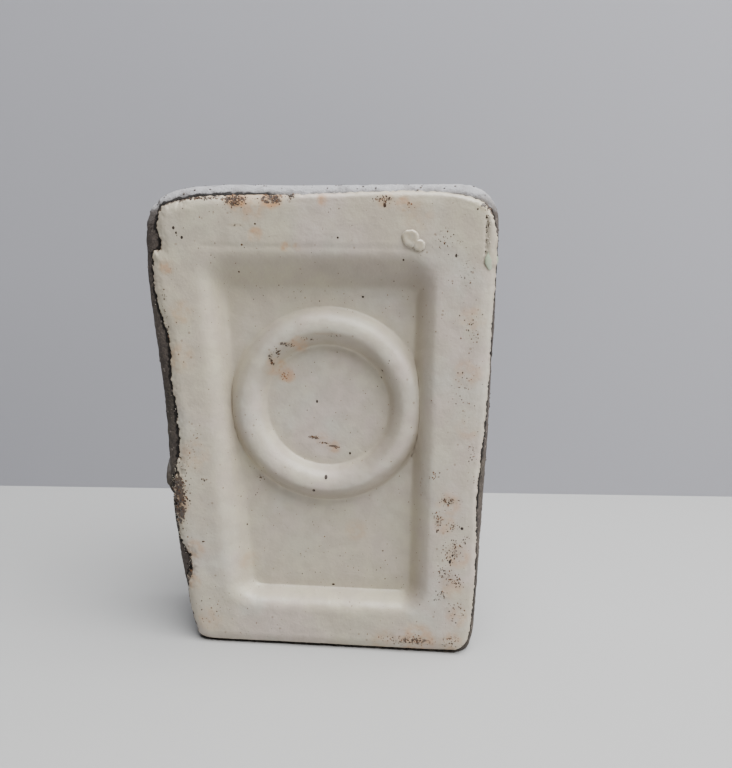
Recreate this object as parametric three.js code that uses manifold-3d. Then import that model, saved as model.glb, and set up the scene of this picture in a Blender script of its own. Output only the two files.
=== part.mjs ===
// A free-standing relief block: a dark, coarse stoneware body pressed in a mould,
// with a thick white glaze on its front face only. The front has a wide flat border,
// a sunk panel with sloping walls and a raised half-round ring inside the panel.
// Units are millimetres. +Z is up, the glazed face looks along -Y, and the origin is
// at the middle of the foot.
import * as THREE from 'three';
import { mergeVertices } from 'three/addons/utils/BufferGeometryUtils.js';
import Module from 'manifold-3d';

const wasm = await Module();
wasm.setup();

// Driving dimensions.
const HEIGHT = 151;
const DEPTH = 34;
const HALF_WIDTH = 54.2;
const FOOT_LEFT = -42.5;
const FOOT_RIGHT = 51;
const FOOT_TRIM = 3.5;
const EDGE_ROUND = 5;
const EDGE_STEPS = 4;
const CURVE_STEPS = 6;

const COAT = 1.6;
const COAT_GAP = 0.3;
const COAT_WRAP = 5;
const GLAZE_FOOT = 0.7;
const REST_GAP = 0.3;

// How far a cutting shape runs on in front of the surface that it cuts.
const CUT_RUN = 3;

// The panel's mouth and its floor, both narrower towards the foot: their left edges
// are given at half height and lean out by this much for each millimetre of rise.
const PANEL_MOUTH = { left: -34.4, lean: 0.06, right: 36.5, bottom: 14.8, top: 133.1, corner: 9 };
const PANEL_FLOOR = { left: -26.7, lean: 0.073, right: 30.2, bottom: 17.8, top: 118.3, corner: 4 };
const PANEL_DEPTH = 7;
const WALL_LEVELS = 8;
const WALL_EASE = 1.15;

const RING_CENTRE = [2.4, 82.3];
const RING_RADIUS = 25.8;
const RING_HALF_WIDTH = 4.4;
const RING_HEIGHT = 5;
const RING_STEPS = 64;
const RING_ARC_STEPS = 10;

const BEAD_RISE = 1.3;
const BEAD_LARGE = { at: [27.9, 135.2], radius: 2.5 };
const BEAD_SMALL = { at: [30.7, 133.1], radius: 1.7 };

const RUN = { x: 51.4, z: 134, length: 11, radius: 1.9, back: 1.3 };
const LUMP = { x: -49.4, y: 9, z: 57, size: [2.6, 7, 7.5] };

// The glazed surface of the border, the clay under it, and the back of the block.
const BACK_Y = (DEPTH + BEAD_RISE) / 2;
const FACE_Y = BACK_Y - DEPTH;
const CLAY_Y = FACE_Y + COAT;

const clay = new THREE.MeshStandardMaterial({ color: 0x4a423f, roughness: 0.95, metalness: 0 });
const whiteGlaze = new THREE.MeshStandardMaterial({ color: 0xe6e0d6, roughness: 0.32, metalness: 0 });
const creamGlaze = new THREE.MeshStandardMaterial({ color: 0xddd3b8, roughness: 0.25, metalness: 0 });
const greenGlaze = new THREE.MeshStandardMaterial({ color: 0xc3cfb4, roughness: 0.12, metalness: 0 });

// A closed geometry as a solid for cutting and joining.
function toSolid(geometry) {
  const bare = geometry.index ? geometry.toNonIndexed() : geometry.clone();
  bare.deleteAttribute('normal');
  bare.deleteAttribute('uv');
  const merged = mergeVertices(bare, 1e-4);
  const vertProperties = new Float32Array(merged.attributes.position.array);
  const triVerts = new Uint32Array(merged.index.array);
  return new wasm.Manifold(new wasm.Mesh({ numProp: 3, vertProperties, triVerts }));
}

function toGeometry(solid) {
  const mesh = solid.getMesh();
  const geometry = new THREE.BufferGeometry();
  geometry.setAttribute('position', new THREE.BufferAttribute(mesh.vertProperties, 3));
  geometry.setIndex(new THREE.BufferAttribute(mesh.triVerts, 1));
  geometry.computeVertexNormals();
  return geometry;
}

// The block seen from the front. The right side is nearly upright; the left side leans
// in towards the foot and pulls in more below the middle. The outline runs on below the
// foot, where the block is cut flat.
function blockOutline() {
  const shape = new THREE.Shape();
  shape.moveTo(FOOT_LEFT + 7, -FOOT_TRIM);
  shape.lineTo(FOOT_RIGHT - 6, -FOOT_TRIM);
  shape.quadraticCurveTo(FOOT_RIGHT, -FOOT_TRIM, FOOT_RIGHT + 1, 8);
  shape.bezierCurveTo(HALF_WIDTH - 1.2, 40, HALF_WIDTH - 0.8, 62, HALF_WIDTH - 0.2, 84);
  shape.lineTo(HALF_WIDTH, HEIGHT - 13);
  shape.quadraticCurveTo(HALF_WIDTH, HEIGHT, HALF_WIDTH - 12, HEIGHT);
  shape.lineTo(-HALF_WIDTH + 25, HEIGHT - 0.4);
  shape.bezierCurveTo(-HALF_WIDTH + 6, HEIGHT - 0.6, -HALF_WIDTH, HEIGHT - 4.5, -HALF_WIDTH, HEIGHT - 17);
  shape.lineTo(-HALF_WIDTH, 124);
  shape.bezierCurveTo(-53.6, 108, -50, 84, -50, 66);
  shape.bezierCurveTo(-50, 40, -46.6, 24, FOOT_LEFT - 1.9, 8);
  shape.quadraticCurveTo(FOOT_LEFT, -FOOT_TRIM, FOOT_LEFT + 7, -FOOT_TRIM);
  return shape;
}

// Where the glaze stops: short of the left edge, close to the other three.
function glazeOutline() {
  const shape = new THREE.Shape();
  shape.moveTo(-37.5, GLAZE_FOOT);
  shape.lineTo(45.5, GLAZE_FOOT);
  shape.quadraticCurveTo(49.6, GLAZE_FOOT, 50.2, 9);
  shape.lineTo(51, 50);
  shape.bezierCurveTo(51.2, 66, 52.6, 84, 53, 100);
  shape.lineTo(53, 122);
  shape.lineTo(53, 137);
  shape.quadraticCurveTo(52, 147.5, 41, 148.2);
  shape.lineTo(-30, 147.2);
  shape.quadraticCurveTo(-46.5, 147, -48.8, 138);
  shape.bezierCurveTo(-51.4, 124, -47.4, 108, -46.6, 94);
  shape.bezierCurveTo(-44.6, 76, -44, 56, -44.6, 40);
  shape.bezierCurveTo(-44.4, 26, -42.6, 8, -37.5, GLAZE_FOOT);
  return shape;
}

// Lays a shape drawn in X and Z between two depths along Y, with rounded edges.
function slab(shape, front, back, round, grow) {
  const thickness = back - front;
  const geometry = new THREE.ExtrudeGeometry(shape, {
    depth: thickness - 2 * round,
    curveSegments: CURVE_STEPS,
    bevelEnabled: round > 0,
    bevelThickness: round,
    bevelSize: round,
    bevelOffset: grow - round,
    bevelSegments: EDGE_STEPS,
  });
  geometry.rotateX(Math.PI / 2);
  geometry.translate(0, back - round, 0);
  return toSolid(geometry);
}

// The points of a rounded rectangle, the same number whatever its size.
function roundedRectangle(width, height, corner, centreX, centreZ) {
  const points = [];
  const quarters = [[1, 1], [-1, 1], [-1, -1], [1, -1]];
  quarters.forEach(([signX, signZ], quarter) => {
    for (let step = 0; step <= CURVE_STEPS; step += 1) {
      const angle = (quarter + step / CURVE_STEPS) * Math.PI / 2;
      const x = centreX + signX * (width / 2 - corner) + corner * Math.cos(angle);
      const z = centreZ + signZ * (height / 2 - corner) + corner * Math.sin(angle);
      points.push([x, z]);
    }
  });
  return points;
}

// A solid through a stack of outlines, each one { y, points }, closed by a flat fan
// at both ends.
function loft(levels) {
  const position = [];
  const index = [];
  const count = levels[0].points.length;
  levels.forEach(({ y, points }) => points.forEach(([x, z]) => position.push(x, y, z)));
  for (let level = 0; level < levels.length - 1; level += 1) {
    for (let i = 0; i < count; i += 1) {
      const a = level * count + i;
      const b = level * count + (i + 1) % count;
      index.push(a, a + count, b, b, a + count, b + count);
    }
  }
  const last = (levels.length - 1) * count;
  for (let i = 1; i < count - 1; i += 1) {
    index.push(0, i, i + 1);
    index.push(last, last + i + 1, last + i);
  }
  const geometry = new THREE.BufferGeometry();
  geometry.setAttribute('position', new THREE.Float32BufferAttribute(position, 3));
  geometry.setIndex(index);
  return geometry;
}

// The edge of the panel's mouth or floor, with its left side leaning.
function panelEdge({ left, lean, right, bottom, top, corner }, grow) {
  const middleX = (left + right) / 2;
  const middleZ = (bottom + top) / 2;
  const upright = roundedRectangle(
    right - left - 2 * grow, top - bottom - 2 * grow, corner, middleX, middleZ);
  return upright.map(([x, z]) => [x - lean * (z - middleZ) * (right - x) / (right - left), z]);
}

// What is taken out of the face for the panel: a short straight mouth in front, then
// walls that close in to the floor. The top wall is the longest of the four.
function panelCut(surfaceY, grow) {
  const mouth = panelEdge(PANEL_MOUTH, grow);
  const floor = panelEdge(PANEL_FLOOR, grow);
  const levels = [{ y: surfaceY - CUT_RUN, points: mouth }];
  for (let level = 0; level <= WALL_LEVELS; level += 1) {
    const turn = level / WALL_LEVELS;
    const drop = (1 - Math.cos(turn ** WALL_EASE * Math.PI)) / 2;
    const points = mouth.map(([x, z], i) => [
      THREE.MathUtils.lerp(x, floor[i][0], turn),
      THREE.MathUtils.lerp(z, floor[i][1], turn),
    ]);
    levels.push({ y: surfaceY + PANEL_DEPTH * drop + level * 1e-3, points });
  }
  return toSolid(loft(levels));
}

// The half-round ring: an arch turned about the Y axis, its base sunk below the floor.
function ring(floorY, grow) {
  const profile = [];
  const halfWidth = RING_HALF_WIDTH + grow;
  const height = RING_HEIGHT + grow;
  profile.push(new THREE.Vector2(RING_RADIUS - halfWidth, -2));
  for (let step = 0; step <= RING_ARC_STEPS; step += 1) {
    const angle = Math.PI * (1 - step / RING_ARC_STEPS);
    profile.push(new THREE.Vector2(
      RING_RADIUS + halfWidth * Math.cos(angle), height * Math.sin(angle)));
  }
  profile.push(new THREE.Vector2(RING_RADIUS + halfWidth, -2));
  profile.push(profile[0].clone());
  profile.reverse();
  const geometry = new THREE.LatheGeometry(profile, RING_STEPS);
  geometry.rotateX(Math.PI);
  geometry.translate(RING_CENTRE[0], floorY, RING_CENTRE[1]);
  return toSolid(geometry);
}

// Everything below the foot, which trims the block so that it stands flat.
function belowFoot() {
  const ground = new THREE.BoxGeometry(4 * HALF_WIDTH, 4 * DEPTH, 2 * HALF_WIDTH);
  ground.translate(0, 0, -HALF_WIDTH);
  return toSolid(ground);
}

// The whole block with its relief, grown outwards by a distance.
function reliefBlock(grow) {
  const surfaceY = CLAY_Y - grow;
  const block = slab(blockOutline(), surfaceY, BACK_Y + grow, EDGE_ROUND + grow, grow);
  const floorY = surfaceY + PANEL_DEPTH;
  const relief = block.subtract(panelCut(surfaceY, grow)).add(ring(floorY + grow, grow));
  return relief.subtract(belowFoot());
}

function glazeCoat() {
  const stops = slab(glazeOutline(), FACE_Y - CUT_RUN, CLAY_Y + COAT_WRAP + PANEL_DEPTH, 0, 0);
  return reliefBlock(COAT).subtract(reliefBlock(COAT_GAP)).intersect(stops);
}

// A drop of glaze on the finished face, grown outwards by a distance.
function drop({ at, radius }, grow) {
  const ball = new THREE.SphereGeometry(radius + grow, 20, 12);
  ball.scale(1, (BEAD_RISE + grow) / (radius + grow), 1);
  ball.translate(at[0], FACE_Y, at[1]);
  return toSolid(ball);
}

function bead(shape) {
  return drop(shape, 0).subtract(reliefBlock(COAT + REST_GAP));
}

// A long glassy drip that hangs over the right edge of the face.
function glazeRun() {
  const drip = new THREE.CapsuleGeometry(RUN.radius, RUN.length, 6, 16);
  drip.rotateX(Math.PI / 2);
  drip.translate(RUN.x, FACE_Y + RUN.back, RUN.z);
  return toSolid(drip).subtract(reliefBlock(COAT + REST_GAP));
}

// A lump of clay left on the left flank when the block came out of its mould.
function clayLump() {
  const lump = new THREE.SphereGeometry(1, 20, 14);
  lump.scale(...LUMP.size);
  lump.translate(LUMP.x, CLAY_Y + LUMP.y, LUMP.z);
  return toSolid(lump).subtract(reliefBlock(REST_GAP));
}

function node(name, solid, material) {
  const mesh = new THREE.Mesh(toGeometry(solid), material);
  mesh.name = name;
  return mesh;
}

const group = new THREE.Group();
group.add(node('stoneware_body', reliefBlock(0), clay));
group.add(node('face_glaze', glazeCoat(), whiteGlaze));
group.add(node('glaze_bead_large', bead(BEAD_LARGE), creamGlaze));
group.add(node(
  'glaze_bead_small', bead(BEAD_SMALL).subtract(drop(BEAD_LARGE, REST_GAP)), creamGlaze));
group.add(node('glaze_run', glazeRun(), greenGlaze));
group.add(node('clay_lump', clayLump(), clay));

export default group;
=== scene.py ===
# A relief block of dark, coarse stoneware with a thick white glaze on its front. The
# clay body is bare on its sides, top, foot and back; the glaze stops in a torn, ragged
# edge and carries drops, a green run, iron spots and rust stains. Units are metres.
import math

import bmesh
import bpy
import numpy as np
from mathutils import Matrix, Vector, noise
from mathutils.bvhtree import BVHTree


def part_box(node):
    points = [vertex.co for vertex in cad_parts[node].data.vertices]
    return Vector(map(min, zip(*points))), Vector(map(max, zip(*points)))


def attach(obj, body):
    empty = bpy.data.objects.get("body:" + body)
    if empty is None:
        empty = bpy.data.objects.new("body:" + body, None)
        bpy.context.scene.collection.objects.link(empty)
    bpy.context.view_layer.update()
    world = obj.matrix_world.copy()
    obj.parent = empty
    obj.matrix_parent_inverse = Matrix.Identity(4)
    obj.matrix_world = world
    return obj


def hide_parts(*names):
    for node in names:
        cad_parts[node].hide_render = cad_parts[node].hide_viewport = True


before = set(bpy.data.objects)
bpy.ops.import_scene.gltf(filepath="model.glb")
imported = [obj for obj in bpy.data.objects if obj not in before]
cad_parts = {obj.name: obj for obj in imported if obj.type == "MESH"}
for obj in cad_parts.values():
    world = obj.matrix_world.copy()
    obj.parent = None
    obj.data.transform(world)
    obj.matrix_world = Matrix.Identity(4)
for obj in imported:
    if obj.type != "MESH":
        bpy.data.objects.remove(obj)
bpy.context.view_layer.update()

MM = 0.001
BODY_LOW, BODY_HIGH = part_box("stoneware_body")
COAT_LOW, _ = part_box("face_glaze")
CLAY_Y = BODY_LOW.y
FACE_Y = COAT_LOW.y
COAT = CLAY_Y - FACE_Y

# The clay behind the glaze is measured on an even grid, seen from the front, and softened
# a little, as thick glaze softens what it covers. The glaze itself is laid out on a net
# that is finer along its left and right edges.
GRID = 0.5 * MM
NET_FINE = 0.3 * MM
NET_WIDE = 0.75 * MM
NET_RISE = 0.4 * MM
FINE_LEFT = -39 * MM
FINE_RIGHT = 47.4 * MM
SOFTENING = 0.95 * MM

# The torn edge: how far back the clay falls beyond it, how high a step the glaze makes
# there, and how far in it grows to its full thickness.
EDGE_DROP = 5.4 * MM
EDGE_STEP = 0.55 * MM
EDGE_REACH = 3.6 * MM

# The hidden part of the coat: how far it runs under the clay's skin, outwards and
# backwards, how high it starts above the foot, and how many of its faces are kept.
SUNK_MARGIN = 0.9 * MM
SUNK_DEPTH = 1.0 * MM
GLAZE_FOOT = 0.3 * MM
GLAZE_LOW = 0.8 * GLAZE_FOOT
BACK_SHARE = 0.62

# The clay's skin: the size of its faces, and how wide and deep its swells, lumps, grain
# and pits are.
BODY_VOXEL = 0.8 * MM
LUMP_VOXEL = 0.5 * MM
LUMP_SWELL = 0.5 * MM
CLAY_SKIN = {
    "Swell size": 24 * MM, "Swell depth": 0.3 * MM, "Lump size": 6 * MM, "Lump depth": 0.2 * MM,
    "Grain size": 1.5 * MM, "Grain depth": 0.22 * MM, "Pit spacing": 5 * MM, "Pit depth": 0.45 * MM,
}
# The clay is darkened nearly black out to here from the torn edge, and back to here from the front.
DARK_EDGE_OUT = (0.45 * MM, 1.35 * MM)
DARK_EDGE_BACK = (4.5 * MM, 8.5 * MM)

# Where the glaze stops, as X and Z in millimetres from the middle of the foot, going
# round from the lower left corner.
GLAZE_EDGE = [
    (-38.5, 1.3), (-10, 1.2), (20, 1.2), (43, 1.3), (47.4, 2.4), (49.6, 6), (50.4, 14),
    (50.9, 26), (50.9, 38), (50.6, 48), (50.6, 58), (51.2, 68), (51.9, 80), (52.5, 95),
    (52.6, 110), (53, 124), (52.8, 136), (51.4, 142),
    (49.6, 145), (45, 147.2), (36, 148.4), (20, 148.5), (2, 147.8), (-12, 147.4),
    (-28, 147.3), (-38, 146.5), (-44.5, 145), (-47.8, 143), (-49, 138), (-48, 134),
    (-48.2, 131), (-50.6, 129.8), (-50.6, 120), (-49.2, 112), (-47, 105), (-46.6, 98),
    (-46.6, 90), (-45.4, 81), (-45, 70), (-45.4, 63), (-47.2, 57), (-47.4, 48), (-46.8, 40),
    (-46.2, 36.5), (-43.8, 33.6), (-42.9, 28), (-44, 22.4), (-44.2, 15), (-41.8, 5),
]

# The seam near the top right corner, with the rolled lip of glaze beside it, and the
# crease along the top of the panel. Places are in millimetres. A stitch is the distance
# from one pit of the seam to the next.
SEAM_X, SEAM_LOW, SEAM_HIGH = 49.75, 127.5, 142
SEAM_STITCH = 1.6 * MM
SEAM_LIP, SEAM_DEPTH, SEAM_WIDTH = 0.5 * MM, 0.5 * MM, 0.36 * MM
CREASE_Z, CREASE_LEFT, CREASE_RIGHT = 132.4, -35, 33
CREASE_DEPTH, CREASE_WIDTH = 0.2 * MM, 0.9 * MM

# The coat's own unevenness, as lump size, height and seed, and the thick rolled edge that
# it has along its top and its right side.
COAT_SWELLS = [(20 * MM, 0.10 * MM, 4.0), (5 * MM, 0.04 * MM, 5.0)]
COAT_SETTLE = 0.05 * MM
ROLL_STEP = 0.9
ROLL_HEIGHT, ROLL_INSET, ROLL_WIDTH = 0.3 * MM, 1.3 * MM, 0.8 * MM

# Stains in the glaze: X and Z in millimetres, reach in millimetres, strength.
RUST_STAINS = [
    (-24, 146, 4.2, 0.9), (-13.5, 146.6, 4.6, 0.8), (-20, 145, 7, 0.35),
    (20.5, 146, 3.2, 0.55), (25.5, 145, 3, 0.6), (2, 146, 2.5, 0.6), (-18.5, 136, 3, 0.55),
    (-9.7, 132.4, 1.9, 0.6), (-5.8, 132.4, 1.6, 0.5), (30, 142, 6, 0.2),
    (-46, 126, 3.2, 0.45), (-42, 112, 5, 0.3), (-43, 98, 6, 0.3), (-40, 66, 7, 0.25),
    (-41, 34, 4.5, 0.4), (-42, 22, 3.5, 0.5), (-37, 9, 6, 0.25), (-46, 50, 5, 0.4),
    (47, 112, 5, 0.3), (46, 95, 6, 0.3), (47, 78, 5, 0.25), (42, 53, 5, 0.4),
    (41, 46, 4.5, 0.35), (45.6, 35, 5, 0.4), (44, 24, 5, 0.3), (46, 14, 5, 0.35),
    (33, 5, 8, 0.5), (44, 5, 5, 0.4), (22, 4, 6, 0.25), (-14, 95, 4, 0.5),
    (-10.5, 92, 3.4, 0.55), (-6, 102.5, 3.6, 0.5), (1, 71, 3.2, 0.45), (4.5, 68.6, 3, 0.4),
    (12, 40, 5, 0.2), (-24, 28, 4, 0.2),
]

# Where the glaze has burnt thin and brown: X, Z, reach in X and in Z, strength.
WORN_PATCHES = [
    (-24.5, 145.8, 4.6, 2.6, 0.8), (-13.2, 146.2, 5, 2.2, 0.8), (-7.6, 147, 1.6, 1.2, 0.9),
    (-36, 146.8, 9, 0.9, 0.8), (20.3, 146, 4.4, 1.6, 0.5), (49.4, 144.4, 2.4, 2, 0.6),
    (-46.6, 51, 5, 13, 1), (-43.8, 28, 2.6, 8, 0.9), (-24, 138.6, 3.4, 0.7, 0.5),
    (32, 4.6, 10, 2.2, 0.5), (44, 37, 3.4, 4.6, 0.42), (42, 54, 3.6, 2, 0.45),
    (38.6, 47, 1.6, 4, 0.42), (42.6, 27, 3.4, 4, 0.4), (-15, 98.4, 0.8, 3, 0.7),
    (-10.4, 102.8, 3, 0.8, 0.7), (2, 106, 6, 0.5, 0.5), (-1.8, 71.4, 2.4, 0.8, 0.6),
    (4.2, 68.8, 3, 0.6, 0.6), (30, 6, 14, 1, 0.4),
]

# Clusters of iron spots: X, Z, reach in X, reach in Z, how many, largest radius, all in
# millimetres, and how rusty they are from 0, black, to 1, orange.
SPOT_CLUSTERS = [
    (-24.4, 145.8, 3.4, 1.7, 150, 0.3, 0.1), (-13.2, 146.4, 3.6, 1.4, 130, 0.3, 0.1),
    (-7.6, 147, 1, 0.7, 26, 0.34, 0), (-36, 146, 9, 0.35, 120, 0.34, 0),
    (20, 146.1, 3.6, 1.2, 44, 0.26, 0.1), (27, 145, 2, 1.2, 7, 0.3, 0.3),
    (-30, 143, 10, 3, 16, 0.22, 0.1), (49.4, 144.4, 1.8, 1.6, 44, 0.3, 0.05),
    (SEAM_X, 136, 0.3, 8, 34, 0.34, 0), (50.8, 143.4, 0.8, 1.6, 30, 0.34, 0),
    (45, 124, 3, 8, 30, 0.22, 0.2), (38, 134, 5, 5, 34, 0.22, 0.15),
    (46.5, 108, 4, 6, 34, 0.26, 0.1),
    (45, 90, 4, 9, 34, 0.22, 0.2), (48.5, 70, 2, 14, 34, 0.22, 0.1),
    (37.5, 62.4, 1.6, 2, 22, 0.26, 0.4), (41.8, 54, 3.6, 2.4, 44, 0.27, 0.1),
    (38.6, 47.6, 1.8, 4, 40, 0.26, 0.3), (43.4, 45.6, 3, 2, 34, 0.27, 0.1),
    (47.6, 41, 1.2, 3, 14, 0.26, 0), (43.6, 37, 3.6, 5.4, 80, 0.27, 0.05),
    (41.5, 29, 3.4, 3.6, 46, 0.26, 0.1), (45.6, 26.4, 2, 2.4, 26, 0.27, 0.05),
    (40.6, 21.6, 2.4, 2.6, 30, 0.28, 0.05), (45.4, 16, 3, 4.4, 34, 0.26, 0.15),
    (30, 5, 9, 2, 110, 0.25, 0.2), (45, 5, 4, 2.6, 40, 0.25, 0.15),
    (-45.4, 51, 3.4, 10, 300, 0.32, 0.05), (-43.4, 28, 1.4, 7, 130, 0.32, 0.05),
    (-47.2, 104, 0.9, 30, 90, 0.26, 0.1), (-42, 66, 4, 5, 26, 0.22, 0.4),
    (-37, 58.3, 1.3, 0.35, 14, 0.26, 0.1), (-39, 75, 3, 5, 14, 0.22, 0.5),
    (-15.6, 97, 0.5, 1.6, 30, 0.26, 0.1), (-13.2, 100.4, 0.9, 1.2, 30, 0.26, 0.1),
    (-9.4, 103, 1.6, 0.7, 30, 0.25, 0.15), (-3.4, 105.2, 3.4, 0.4, 22, 0.2, 0.35),
    (5, 106.2, 3.4, 0.4, 16, 0.18, 0.3), (-11.4, 91.6, 1.6, 2.2, 30, 0.24, 0.85),
    (-2.2, 71.6, 1.8, 0.6, 30, 0.24, 0.3), (1.4, 69.8, 1.8, 0.35, 24, 0.22, 0.15),
    (5.4, 68.4, 1.6, 0.3, 20, 0.22, 0.2), (-19.5, 57, 1, 1, 10, 0.22, 0.2),
    (2, 118, 22, 5, 20, 0.18, 0.2), (4, 30, 24, 14, 34, 0.18, 0.3),
    (-36, 12, 6, 6, 22, 0.2, 0.2), (-30, 146.2, 20, 0.5, 40, 0.22, 0.2),
]

# Single spots that stand out: X, Z, radius in millimetres, rustiness.
LONE_SPOTS = [
    (2.4, 58.6, 0.55, 0), (-1.4, 55.6, 0.5, 0.05), (-25.6, 40.6, 0.35, 0.1), (-1, 83.6, 0.36, 0),
    (9.8, 66.6, 0.36, 0), (-22.6, 133, 0.34, 0.3), (20.6, 92.6, 0.36, 0.1), (21, 95.4, 0.3, 0.2),
    (-43.4, 137.6, 0.42, 0), (-42.6, 136.2, 0.34, 0), (-40.9, 134.8, 0.42, 0),
    (-18.4, 139, 0.36, 0.1), (6.4, 135.2, 0.34, 0), (20.2, 144.6, 0.5, 0.1),
    (4.4, 20, 0.5, 0.05), (-24.5, 125.6, 0.3, 0.2), (13.5, 117.4, 0.42, 0),
    (26, 129.5, 0.3, 0.1), (41.5, 130.4, 0.36, 0), (46.4, 45, 0.5, 0), (43, 33.4, 0.46, 0),
    (-27.5, 77, 0.3, 0.3), (21, 33, 0.3, 0.2), (-38, 36.8, 0.36, 0.1), (-36, 13, 0.3, 0.3),
]

# Small spots all over the face: how many, and the largest radius in millimetres.
LOOSE_SPOTS = 460
LOOSE_SPOT_RADIUS = 0.19
SPOT_SEED = 11

# Drops of glaze fused to the face: X, Z, radius and height in millimetres, and the share
# of its height that the middle has sunk in again. All of them sit a little in the coat.
DROP_SUNK = 0.12 * MM
DROPS = {
    "glaze_bead_large": (27.9, 135.2, 2.6, 0.9, 0.4),
    "glaze_bead_small": (30.5, 133.2, 1.8, 0.8, 0.15),
}

# The green run: a slim lip that swells into a tear, as half widths and heights, and where
# along its length, from 0 to 1, the tear is fullest.
RUN_SLIM = (0.6 * MM, 0.02 * MM)
RUN_TEAR = (1.85 * MM, 0.55 * MM)
RUN_LEAST = 0.02 * MM
RUN_SUNK = 0.25 * MM
TEAR_MIDDLE, TEAR_LENGTH = 0.82, 0.16

# Grit and crumbs: grains per square metre, smallest and largest radius, flatness, seed.
GRIT_PLAN = (60000, 0.16 * MM, 0.42 * MM, 0.6, 3)
LIP_CRUMB_PLAN = (2600000, 0.12 * MM, 0.3 * MM, 0.7, 5)
CRUMB_PLAN = (900000, 0.1 * MM, 0.26 * MM, 0.5, 8)

# The camera looks slightly down and to the left from in front of the right half.
CAMERA_AT = Vector((30.7, -223.8, 133.5)) * MM
CAMERA_LENS = 32.3
CAMERA_DIP = math.radians(11.5)
CAMERA_PAN = math.radians(4.25)
CAMERA_ROLL = math.radians(0.63)

# A pale table with a pale wall behind it.
FLOOR_TONE = (0.42, 0.42, 0.415, 1)
WALL_TONE = (0.33, 0.33, 0.36, 1)
WALL_BEHIND = 135 * MM
WALL_TURN = math.radians(3.6)

# One broad light overhead, a small one from the right, and a weak warm room all round.
KEY = {"at": (0.28, -0.26, 1.1), "size": 1.1, "power": 36, "colour": (0.98, 0.99, 1)}
SIDE = {"at": (0.85, -0.3, 0.5), "size": 0.6, "power": 5.5, "colour": (1, 0.98, 0.95)}
ROOM_COLOUR = (1, 0.93, 0.84, 1)
ROOM_STRENGTH = 0.075


# ---------------------------------------------------------------- small helpers
def new_piece(name, mesh):
    piece = bpy.data.objects.new(name, mesh)
    bpy.context.scene.collection.objects.link(piece)
    return piece


def mesh_from(name, points, faces):
    mesh = bpy.data.meshes.new(name)
    mesh.from_pydata([tuple(p) for p in points], [], [tuple(f) for f in faces])
    mesh.update()
    return mesh


def apply_modifiers(piece):
    """The piece's modifiers become its plain mesh."""
    depsgraph = bpy.context.evaluated_depsgraph_get()
    finished = bpy.data.meshes.new_from_object(piece.evaluated_get(depsgraph))
    piece.modifiers.clear()
    old = piece.data
    piece.data = finished
    bpy.data.meshes.remove(old)
    return piece


def shade_smooth(piece):
    piece.data.polygons.foreach_set("use_smooth", [True] * len(piece.data.polygons))
    return piece


def points_of(mesh):
    flat = np.empty(len(mesh.vertices) * 3, np.float32)
    mesh.vertices.foreach_get("co", flat)
    return flat.reshape(-1, 3).astype(float)


def normals_of(mesh):
    flat = np.empty(len(mesh.vertices) * 3, np.float32)
    mesh.vertex_normals.foreach_get("vector", flat)
    return flat.reshape(-1, 3).astype(float)


def paint(mesh, name, values):
    """Stores one number for each point of the mesh."""
    layer = mesh.attributes.new(name, "FLOAT", "POINT")
    layer.data.foreach_set("value", np.asarray(values, np.float32))


def grain(x, z, size, seed, octaves=3):
    """Soft random numbers, about -1 to 1, whose lumps are about one size across."""
    pairs = zip(np.ravel(x) / size, np.ravel(z) / size)
    values = [noise.fractal(Vector((a, b, seed)), 0.8, 2.0, octaves) for a, b in pairs]
    return np.reshape(values, np.shape(x))


def smooth_step(values, start, end):
    t = np.clip((values - start) / (end - start), 0, 1)
    return t * t * (3 - 2 * t)


def ridge(values, middle, width):
    """1 at the middle, falling off softly to both sides."""
    return np.exp(-((values - middle) / width) ** 2)


# ---------------------------------------------------------------- shader groups
def node_group(name, inputs, outputs):
    """A shader node group with its sockets; returns it with its two end nodes."""
    group = bpy.data.node_groups.new(name, "ShaderNodeTree")
    for label, kind, value in inputs:
        socket = group.interface.new_socket(label, in_out="INPUT", socket_type=kind)
        if value is not None:
            socket.default_value = value
    for label, kind in outputs:
        group.interface.new_socket(label, in_out="OUTPUT", socket_type=kind)
    return group, group.nodes.new("NodeGroupInput"), group.nodes.new("NodeGroupOutput")


def feed(tree, socket, value):
    """Links another socket to this one, or sets a plain value on it."""
    if isinstance(value, bpy.types.NodeSocket):
        tree.links.new(value, socket)
    else:
        socket.default_value = value


def add_node(tree, kind, inputs=None, **settings):
    """A new node with its settings, and its inputs fed by name or by place in the list."""
    node = tree.nodes.new(kind)
    for name, value in settings.items():
        setattr(node, name, value)
    for label, value in (inputs or {}).items():
        feed(tree, node.inputs[label], value)
    return node


def math_node(tree, operation, a, b, clamp=False):
    node = add_node(tree, "ShaderNodeMath", {0: a, 1: b}, operation=operation, use_clamp=clamp)
    return node.outputs[0]


def mix_colour(tree, factor, a, b):
    node = add_node(tree, "ShaderNodeMix", data_type="RGBA")
    for place, value in ((0, factor), (6, a), (7, b)):
        feed(tree, node.inputs[place], value)
    return node.outputs[2]


def ramp(tree, value, low, high):
    """0 below low, 1 above high, smooth between."""
    inputs = {"Value": value, "From Min": low, "From Max": high}
    node = add_node(tree, "ShaderNodeMapRange", inputs, interpolation_type="SMOOTHSTEP")
    return node.outputs["Result"]


def object_place(tree):
    return add_node(tree, "ShaderNodeTexCoord").outputs["Object"]


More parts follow.
